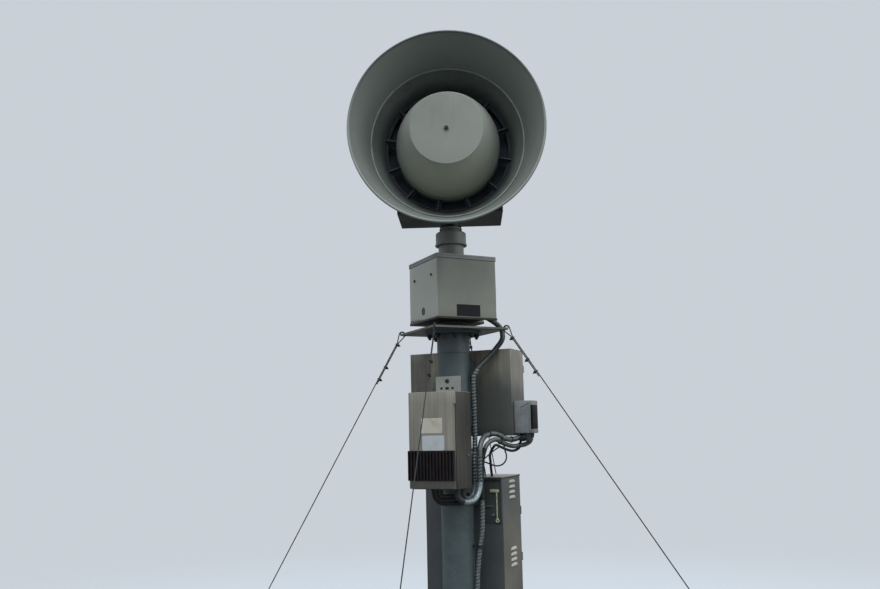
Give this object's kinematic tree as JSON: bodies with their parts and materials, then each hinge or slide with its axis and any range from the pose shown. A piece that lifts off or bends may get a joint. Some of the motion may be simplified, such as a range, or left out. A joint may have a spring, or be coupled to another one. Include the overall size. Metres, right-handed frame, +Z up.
{
  "type": "rotating warning siren mast",
  "caption": "Guyed steel pole with a turning horn siren on top, equipment cabinets, junction box and conduits.",
  "frame": {"origin": "centre of the base flange's underside, on the deck", "axes": "+Z up along the mast, the horn's mouth faces -Y at rest"},
  "size_m": [3.2006, 2.8017, 3.536],
  "materials": {
    "base_flange": "brushed grey paint over steel, worn at the edges",
    "pole": "brush-painted blue-grey steel pipe, weathered",
    "top_flange": "dark grey paint on welded steel",
    "guy_plate": "hot-dip galvanised plate, dull and stained",
    "flange_bolts": "zinc-plated bolts, darkened",
    "guy_ropes": "laid steel wire rope, greased and dull",
    "rope_thimbles": "galvanised pressed thimbles",
    "rope_clips": "galvanised drop-forged clips, dull",
    "turnbuckles": "galvanised forged turnbuckles",
    "guy_anchors": "galvanised welded plates",
    "rotator_stand": "painted steel",
    "rotator_housing": "powder-coated grey-green sheet, stained along its lower edge",
    "rotator_lid": "powder-coated grey sheet",
    "rotator_screws": "dark plug, screw heads and a bare dark plate",
    "rotator_column": "painted machined column",
    "turntable_cap": "painted cast cap",
    "neck": "dark painted steel tube",
    "head_housing": "grey-green painted sheet housing",
    "intake_louvres": "painted sheet blades",
    "chopper_drum": "dark painted cast drum",
    "throat_plate": "painted plate with ports",
    "stator_vanes": "painted thin vanes",
    "horn_rear": "moulded glass-fibre horn, satin gel coat",
    "horn_front": "moulded glass-fibre horn, satin gel coat",
    "horn_bolts": "zinc-plated bolts",
    "bullet": "moulded glass-fibre nose, satin gel coat",
    "bullet_disc": "painted flat disc",
    "rear_cover": "painted sheet cover",
    "motor_cowl": "painted pressed cowl",
    "rear_brackets": "painted welded brackets",
    "front_mount": "galvanised sheet plate",
    "rear_cabinet": "brushed stainless sheet, vertical grain, dulled",
    "rear_door": "brushed stainless sheet",
    "lower_cabinet": "powder-coated dark grey sheet, dusty",
    "lower_door": "powder-coated dark grey sheet",
    "lower_handle": "cream-painted steel handle",
    "front_cabinet": "brushed stainless sheet, vertical grain, dulled",
    "heat_sink": "black anodised extruded fins",
    "blank_plates": "pale bare plates",
    "cabinet_latch": "plated quarter-turn latch",
    "junction_box": "moulded grey polycarbonate",
    "junction_window": "smoked polycarbonate",
    "rotator_conduit": "corrugated polyamide conduit",
    "link_conduit": "corrugated polyamide conduit, dusty",
    "base_conduit": "corrugated polyamide conduit, dusty",
    "conduit_glands": "moulded nylon glands",
    "cable_ties": "black nylon ties and clip",
    "battery_cables": "black rubber cable jackets",
    "control_cables": "black cable jackets"
  },
  "bodies": {
    "mast": {"base_flange": "base_flange", "pole": "pole", "top_flange": "top_flange", "guy_plate": "guy_plate", "flange_bolts": "flange_bolts", "guy_ropes": "guy_ropes", "rope_thimbles": "rope_thimbles", "rope_clips": "rope_clips", "turnbuckles": "turnbuckles", "guy_anchors": "guy_anchors", "rotator_stand": "rotator_stand", "rotator_housing": "rotator_housing", "rotator_lid": "rotator_lid", "rotator_screws": "rotator_screws", "rotator_column": "rotator_column", "rear_brackets": "rear_brackets", "front_mount": "front_mount", "rear_cabinet": "rear_cabinet", "rear_door": "rear_door", "lower_cabinet": "lower_cabinet", "lower_door": "lower_door", "lower_handle": "lower_handle", "front_cabinet": "front_cabinet", "heat_sink": "heat_sink", "blank_plates": "blank_plates", "cabinet_latch": "cabinet_latch", "junction_box": "junction_box", "junction_window": "junction_window", "rotator_conduit": "rotator_conduit", "link_conduit": "link_conduit", "base_conduit": "base_conduit", "conduit_glands": "conduit_glands", "cable_ties": "cable_ties", "battery_cables": "battery_cables", "control_cables": "control_cables"},
    "siren_head": {"turntable_cap": "turntable_cap", "neck": "neck", "head_housing": "head_housing", "intake_louvres": "intake_louvres", "chopper_drum": "chopper_drum", "throat_plate": "throat_plate", "stator_vanes": "stator_vanes", "horn_rear": "horn_rear", "horn_front": "horn_front", "horn_bolts": "horn_bolts", "bullet": "bullet", "bullet_disc": "bullet_disc", "rear_cover": "rear_cover", "motor_cowl": "motor_cowl"}
  },
  "joints": [
    {"name": "head_turn", "type": "hinge", "parent": "mast", "child": "siren_head", "pos_m": [0, 0, 2.6], "axis": [0, 0, 1], "continuous": true}
  ]
}
